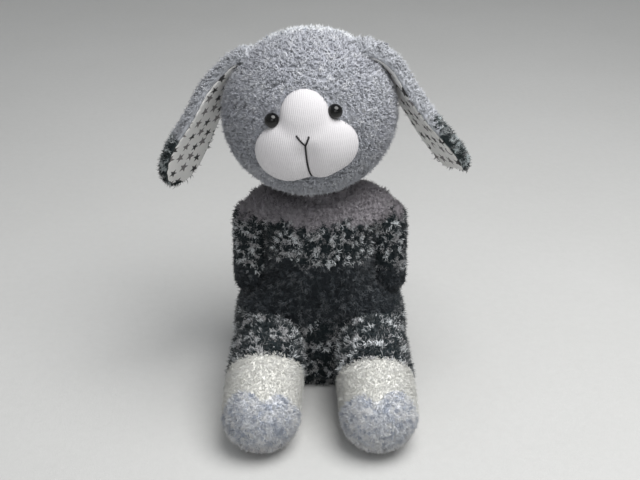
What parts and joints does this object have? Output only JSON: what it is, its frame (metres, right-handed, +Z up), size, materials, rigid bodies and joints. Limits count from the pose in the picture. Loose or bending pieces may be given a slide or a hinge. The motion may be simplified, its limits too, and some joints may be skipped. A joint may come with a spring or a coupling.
{
  "type": "stuffed bunny",
  "caption": "Soft sitting sock bunny with hanging lop ears, a smooth bulging muzzle, bead eyes, hanging arms and short legs held out in front.",
  "frame": {"origin": "on the floor, at the middle of the overall width and depth", "axes": "+Z up, the rabbit faces -Y, +X towards the rabbit's own left"},
  "size_m": [0.2046, 0.1654, 0.245],
  "materials": {
    "banded_fleece": "matte",
    "grey_fleece": "matte",
    "cream_fleece": "matte",
    "speckled_fleece": "matte",
    "white_knit": "matte",
    "star_cotton": "matte",
    "black_bead": "gloss",
    "black_thread": "matte",
    "grey_thread": "matte",
    "stuffing": "matte"
  },
  "bodies": {
    "torso": {"body_skin": "banded_fleece", "body_stuffing": "stuffing"},
    "neck": {"neck_stuffing": "stuffing", "neck_gathering_thread": "grey_thread"},
    "head": {"head_skin": "grey_fleece", "head_stuffing": "stuffing", "muzzle_patch": "white_knit", "muzzle_padding": "stuffing", "right_eye": "black_bead", "left_eye": "black_bead", "right_eye_thread": "black_thread", "left_eye_thread": "black_thread", "nose_stitch": "black_thread", "mouth_stitch": "black_thread"},
    "right_ear": {"right_ear_outer": "grey_fleece", "right_ear_lining": "star_cotton", "right_ear_stitch": "grey_thread"},
    "left_ear": {"left_ear_outer": "grey_fleece", "left_ear_lining": "star_cotton", "left_ear_stitch": "grey_thread"},
    "right_arm": {"right_arm_skin": "banded_fleece", "right_arm_stuffing": "stuffing", "right_shoulder_stitch": "grey_thread"},
    "left_arm": {"left_arm_skin": "banded_fleece", "left_arm_stuffing": "stuffing", "left_shoulder_stitch": "grey_thread"},
    "right_leg": {"right_thigh": "banded_fleece", "right_cuff": "cream_fleece", "right_toe_cap": "speckled_fleece", "right_leg_stuffing": "stuffing", "right_hip_stitch": "grey_thread"},
    "left_leg": {"left_thigh": "banded_fleece", "left_cuff": "cream_fleece", "left_toe_cap": "speckled_fleece", "left_leg_stuffing": "stuffing", "left_hip_stitch": "grey_thread"}
  },
  "joints": [
    {"name": "neck_turn", "type": "hinge", "parent": "torso", "child": "neck", "pos_m": [0.00522, 0.03367, 0.1336], "axis": [0, 0, 1], "range_deg": [-30, 30], "stiffness_Nm_per_rad": 0.12},
    {"name": "head_nod", "type": "hinge", "parent": "neck", "child": "head", "pos_m": [0.00522, 0.03367, 0.1336], "axis": [1, 0, 0], "range_deg": [-10, 12], "stiffness_Nm_per_rad": 0.6},
    {"name": "right_ear_flap", "type": "hinge", "parent": "head", "child": "right_ear", "pos_m": [-0.05624, 0.03955, 0.21721], "axis": [0.4046, 0.8999, -0.1627], "range_deg": [0, 70], "stiffness_Nm_per_rad": 0.01, "springref_deg": 3.44},
    {"name": "left_ear_flap", "type": "hinge", "parent": "head", "child": "left_ear", "pos_m": [0.04351, 0.03779, 0.23301], "axis": [0.3388, -0.9129, 0.2277], "range_deg": [0, 70], "stiffness_Nm_per_rad": 0.01, "springref_deg": 3.44},
    {"name": "right_arm_swing", "type": "hinge", "parent": "torso", "child": "right_arm", "pos_m": [-0.04248, 0.03367, 0.112], "axis": [-1, 0, 0], "range_deg": [-20, 90]},
    {"name": "left_arm_swing", "type": "hinge", "parent": "torso", "child": "left_arm", "pos_m": [0.05292, 0.03367, 0.112], "axis": [-1, 0, 0], "range_deg": [-20, 90]},
    {"name": "right_leg_lift", "type": "hinge", "parent": "torso", "child": "right_leg", "pos_m": [-0.02928, -0.00233, 0.0609], "axis": [-1, 0, 0], "range_deg": [0, 35]},
    {"name": "left_leg_lift", "type": "hinge", "parent": "torso", "child": "left_leg", "pos_m": [0.03972, -0.00233, 0.0609], "axis": [-1, 0, 0], "range_deg": [0, 35]}
  ]
}
